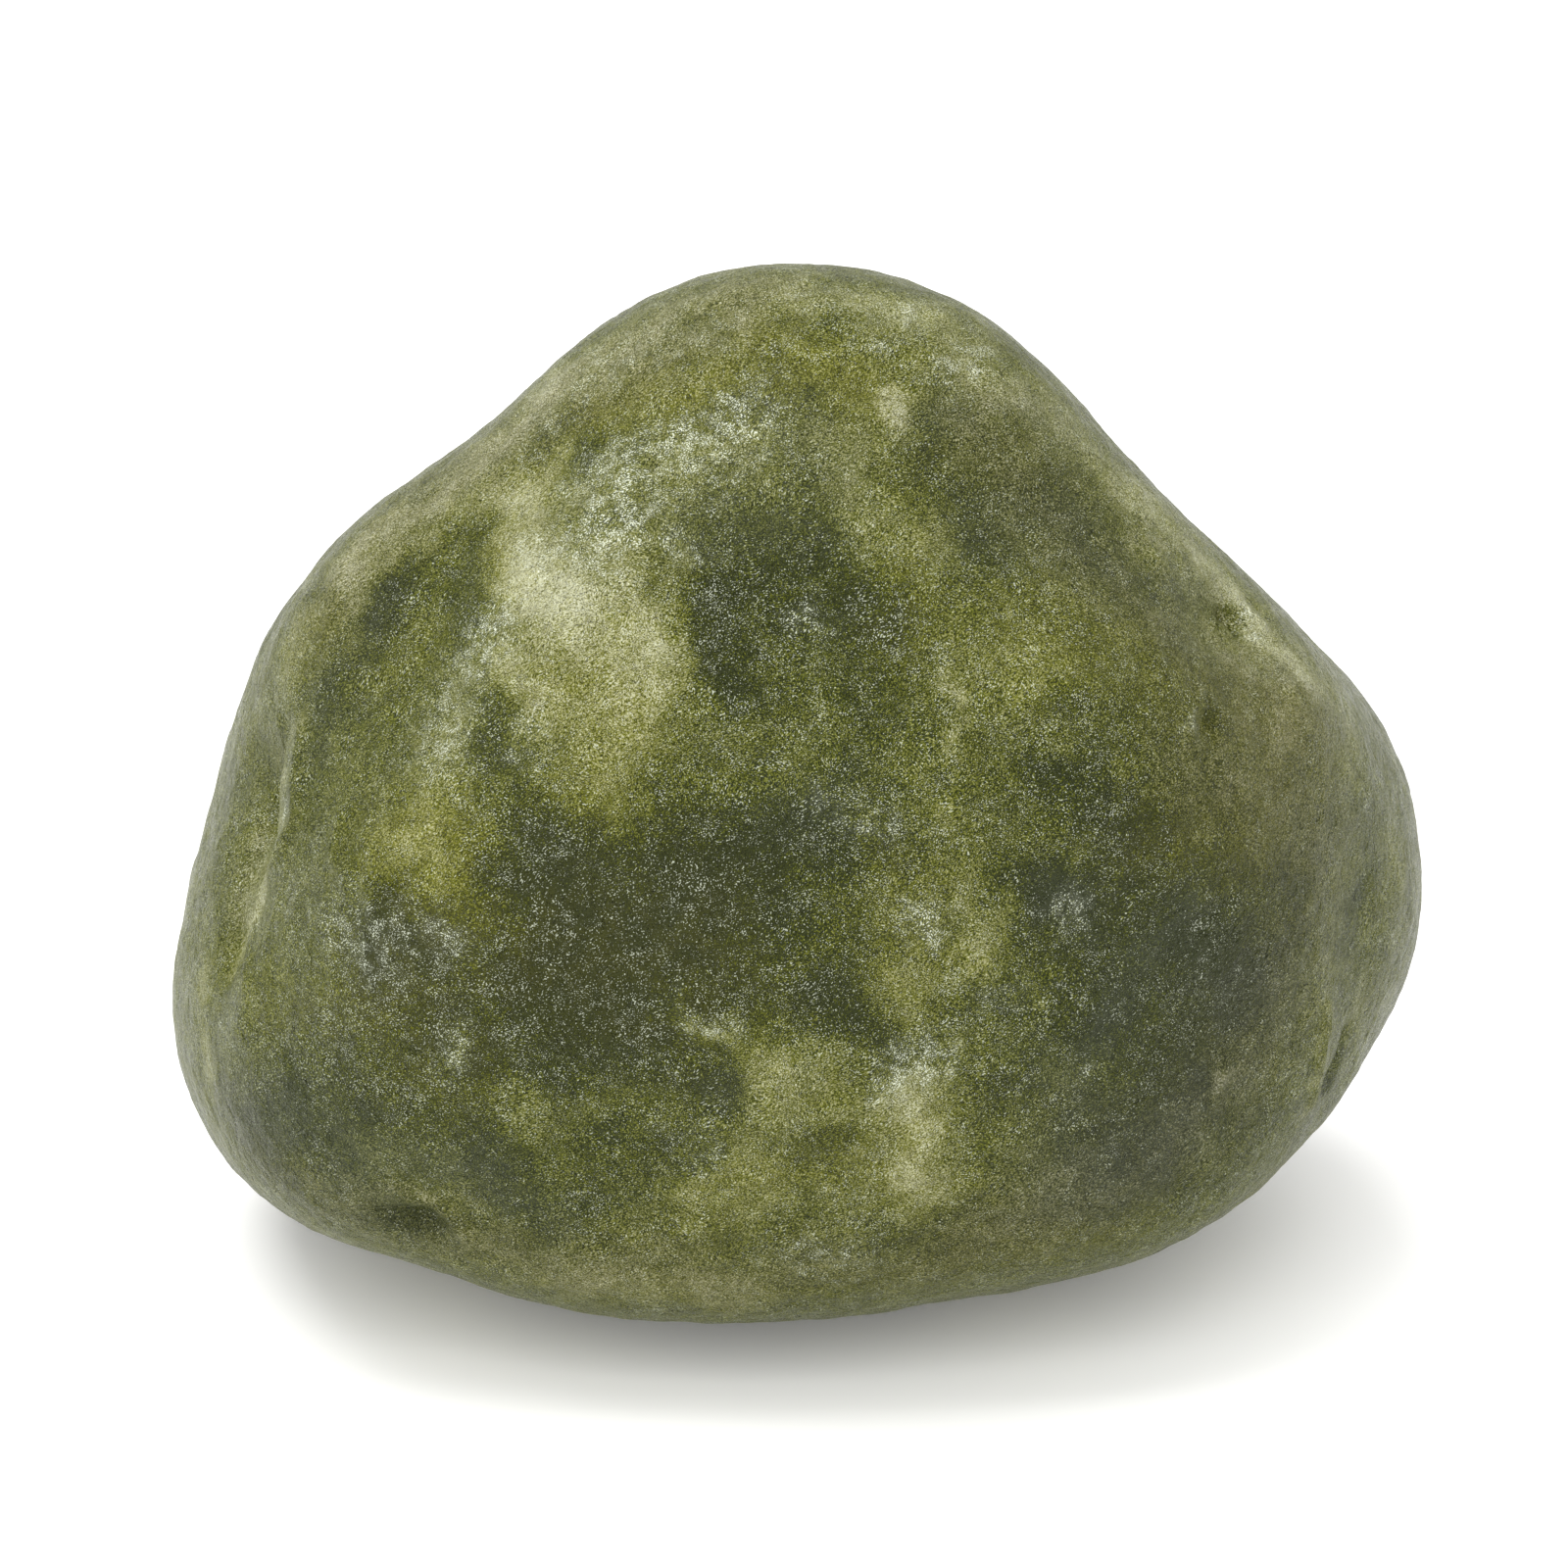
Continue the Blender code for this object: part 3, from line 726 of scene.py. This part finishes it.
class Wiring:
    """Short ways to add and link a material's nodes."""

    def __init__(self, material):
        self.nodes = material.node_tree.nodes
        self.links = material.node_tree.links

    def add(self, kind, inputs=(), **settings):
        """A new node, with each of its inputs linked to a socket or set to a value."""
        node = self.nodes.new(kind)
        for name, value in settings.items():
            setattr(node, name, value)
        for name, value in dict(inputs).items():
            if isinstance(value, bpy.types.NodeSocket):
                self.links.new(value, node.inputs[name])
            else:
                node.inputs[name].default_value = value
        return node

    def math(self, operation, *values, clamp=False):
        """The result of a sum on one, two or three values."""
        inputs = dict(enumerate(values))
        return self.add("ShaderNodeMath", inputs, operation=operation, use_clamp=clamp).outputs[0]

    def noise(self, place, pattern):
        """Noise from 0 to 1 in one of the patterns, on places in millimetres."""
        size, detail, roughness, distortion = pattern
        inputs = {
            "Vector": place,
            "Scale": 1 / size,
            "Detail": detail,
            "Roughness": roughness,
            "Distortion": distortion,
        }
        return self.add("ShaderNodeTexNoise", inputs).outputs["Fac"]

    def wandered(self, place, size, reach):
        """The places, each moved up to about this far by noise with lumps of this size, in millimetres."""
        inputs = {"Vector": place, "Scale": 1 / size, "Detail": BEND_DETAIL}
        push = self.add("ShaderNodeTexNoise", inputs).outputs["Color"]
        inputs = {0: push, 1: (2 * reach,) * 3, 2: (-reach,) * 3}
        moves = self.add("ShaderNodeVectorMath", inputs, operation="MULTIPLY_ADD").outputs[0]
        return self.add("ShaderNodeVectorMath", {0: place, 1: moves}, operation="ADD").outputs[0]

    def drawn_out(self, place, turn, length):
        """The places, closed up along one direction, so that patterns on them come out longer that way."""
        inputs = {"Vector": place, "Rotation": turn, "Scale": (1, 1, length)}
        return self.add("ShaderNodeMapping", inputs, vector_type="TEXTURE").outputs["Vector"]

    def range(self, value, low, high, to_low=0.0, to_high=1.0):
        """The value brought from one range to another with smooth ends."""
        inputs = {"Value": value, "From Min": low, "From Max": high, "To Min": to_low, "To Max": to_high}
        return self.add("ShaderNodeMapRange", inputs, interpolation_type="SMOOTHSTEP").outputs["Result"]

    def bump(self, height, rise_mm, under=None):
        """The normal of a relief that rises this far, over the relief under it."""
        inputs = {"Height": height, "Distance": rise_mm * MM, "Strength": 1.0}
        if under:
            inputs["Normal"] = under
        return self.add("ShaderNodeBump", inputs).outputs["Normal"]

    def mix(self, share, first, second):
        """The second colour over the first."""
        inputs = {MIX_SHARE: share, MIX_FIRST: first, MIX_SECOND: second}
        return self.add("ShaderNodeMix", inputs, data_type="RGBA").outputs[MIX_RESULT]


def ramp(wires, value, tones):
    """The colour that a row of tones has at a value."""
    node = wires.add("ShaderNodeValToRGB", {"Fac": value})
    stops = node.color_ramp.elements
    while len(stops) < len(tones):
        stops.new(position=0.5)
    for stop, (position, shade) in zip(stops, tones):
        stop.position = position
        stop.color = shade
    return node.outputs["Color"]


def varied(wires, base, pattern, swing):
    """The base value raised and lowered by a pattern from 0 to 1, up to half the swing each way."""
    return wires.math("ADD", base, wires.math("MULTIPLY_ADD", pattern, swing, -swing / 2))


def lessened(wires, base, field, strength):
    """The base value less a field times its strength."""
    return wires.math("SUBTRACT", base, wires.math("MULTIPLY", field, strength))


def broken_up(wires, field, pattern, low, high, to_low, to_high):
    """How much of a kind of stone shows, from 0 to 1, where a pattern lets less of it or more through."""
    passed = wires.range(pattern, low, high, to_low, to_high)
    return wires.math("MULTIPLY", field, passed, clamp=True)


def hairlines(wires, place):
    """Thin broken cracks, 1 on their lines and 0 elsewhere."""
    wave = wires.noise(place, CRACK_NOISE)
    ridge = wires.math("ABSOLUTE", wires.math("SUBTRACT", wave, NOISE_MIDDLE))
    line = wires.range(ridge, low=0.0, high=CRACK_NEARNESS, to_low=1.0, to_high=0.0)
    stretches = wires.range(wires.noise(place, CRACK_STRETCH_NOISE), low=0.48, high=0.60)
    return wires.math("MULTIPLY", line, stretches)


def toned(wires, place, strokes, mottle, pale):
    """The stone's tone: its pale field with its clouds, mottle and grain, less its cracks."""
    tone = varied(wires, pale, wires.noise(place, CLOUD_NOISE), CLOUD_SWING)
    tone = varied(wires, tone, mottle, MOTTLE_SWING)
    tone = varied(wires, tone, wires.noise(strokes, GRAIN_NOISE), GRAIN_SWING)
    return lessened(wires, tone, hairlines(wires, place), CRACK_DARKNESS)


def tinted(wires, base, hue, brown, slate_share, moss_share):
    """The base colour, stronger in moss, duller in slate and brown stone, and warmer in brown stone."""
    strength = wires.math("MULTIPLY_ADD", moss_share, MOSS_SATURATION, SATURATION)
    strength = lessened(wires, strength, slate_share, SLATE_FADING)
    strength = lessened(wires, strength, brown, BROWN_FADING)
    strength = varied(wires, strength, hue, SATURATION_SWING)
    turn = wires.math("MULTIPLY_ADD", brown, BROWN_HUE_TURN, HUE_TURN)
    inputs = {"Color": base, "Saturation": strength, "Hue": turn}
    return wires.add("ShaderNodeHueSaturation", inputs).outputs["Color"]


def painted_glints(wires, place, strokes, frost_and_sheen_share, dull_share):
    """How much of the painted glints, whitish painted highlights on the stone's sugary grain, shows at each
    place.
    """
    glint_level = wires.noise(strokes, GLINT_NOISE)
    glint_level = varied(wires, glint_level, wires.noise(place, GLINT_GROUP_NOISE), GLINT_GROUP_SWING)
    glint_level = varied(wires, glint_level, wires.noise(place, GLINT_FIELD_NOISE), GLINT_FIELD_SWING)
    glint_level = wires.math("ADD", glint_level, wires.math("MULTIPLY", frost_and_sheen_share, FROST_AND_SHEEN_GLINTS))
    glint_level = lessened(wires, glint_level, dull_share, DULL_GLINTS)
    cover = wires.range(frost_and_sheen_share, 0.0, FROST_AND_SHEEN_FULL, PLAIN_PAINTED_GLINT_COVER, FROST_AND_SHEEN_GLINT_COVER)
    return wires.math("MULTIPLY", wires.range(glint_level, PAINTED_GLINT_START, PAINTED_GLINT_FULL), cover)


def add_gloss(wires, shader, mottle):
    """A faint shine and a soft sheen, with the roughness following the mottle."""
    rough = wires.range(mottle, low=0.3, high=0.7, to_low=LOW_ROUGHNESS, to_high=HIGH_ROUGHNESS)
    wires.links.new(rough, shader.inputs["Roughness"])
    for name, value in GLOSS.items():
        shader.inputs[name].default_value = value


def add_bumps(wires, shader, place, strokes, mottle):
    """Sugary grain over leathery skin over soft dents, as the shader's relief."""
    normal = wires.bump(wires.noise(strokes, SUGAR_NOISE), SUGAR_RISE)
    normal = wires.bump(wires.noise(place, LEATHER_NOISE), LEATHER_RISE, normal)
    normal = wires.bump(mottle, MOTTLE_RISE, normal)
    wires.links.new(normal, shader.inputs["Normal"])


def jadeite():
    """Frosted green stone with painted sheen and painted glints, coloured by its fields and by noise from
    large clouds down to its grain.
    """
    material = bpy.data.materials.new("jadeite")
    material.use_nodes = True
    wires = Wiring(material)
    shader = wires.nodes["Principled BSDF"]
    spot = wires.add("ShaderNodeTexCoord").outputs["Object"]
    place = wires.add("ShaderNodeMapping", {"Vector": spot, "Scale": (1 / MM,) * 3}).outputs["Vector"]
    bent = wires.wandered(place, BEND_SIZE_MM, BEND_REACH_MM)
    strokes = wires.drawn_out(bent, STROKE_TURN, STROKE_LENGTH)
    mottle = wires.noise(place, MOTTLE_NOISE)
    hue = wires.noise(place, HUE_NOISE)
    frost_and_sheen_patches = wires.noise(place, FROST_AND_SHEEN_NOISE)

    fields = [wires.add("ShaderNodeAttribute", attribute_name=kind).outputs["Fac"] for kind in KINDS]
    pale, slate, brown, moss, frost_and_sheen = fields
    slate_share = broken_up(wires, slate, hue, low=0.35, high=0.6, to_low=0.4, to_high=1.0)
    moss_share = broken_up(wires, moss, hue, low=0.4, high=0.65, to_low=1.0, to_high=0.4)
    # Frost here is partly whitish stone and partly painted sheen.
    frost_and_sheen_share = broken_up(wires, frost_and_sheen, frost_and_sheen_patches, low=0.35, high=0.62, to_low=0.15, to_high=1.0)
    dull_share = wires.math("MAXIMUM", slate_share, brown)

    base = ramp(wires, toned(wires, place, strokes, mottle, pale), GREEN_TONES)
    base = tinted(wires, base, hue, brown, slate_share, moss_share)
    base = wires.mix(wires.math("MULTIPLY", moss_share, MOSS_COVER), base, MOSS)
    base = wires.mix(wires.math("MULTIPLY", slate_share, SLATE_COVER), base, SLATE)
    base = wires.mix(wires.math("MULTIPLY", frost_and_sheen_share, FROST_AND_SHEEN_COVER), base, FROST_AND_SHEEN)
    # Painted glints: whitish highlights laid over the base colour.
    base = wires.mix(painted_glints(wires, place, strokes, frost_and_sheen_share, dull_share), base, PAINTED_GLINT_COLOUR)
    wires.links.new(base, shader.inputs["Base Color"])

    add_gloss(wires, shader, mottle)
    add_bumps(wires, shader, place, strokes, mottle)
    return material


make_camera()
make_world()
area_light("front_light", place=(-0.08, -0.69, 0.49), size=0.55, power=4.2)
area_light("top_light", place=(-0.22, -0.04, 0.82), size=0.60, power=5.6)
make_floor()
skin = make_skin(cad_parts["jadeite_stone"])
skin.data.materials.append(jadeite())
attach(skin, "root")
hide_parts("jadeite_stone")
bpy.context.scene.view_settings.view_transform = "Standard"
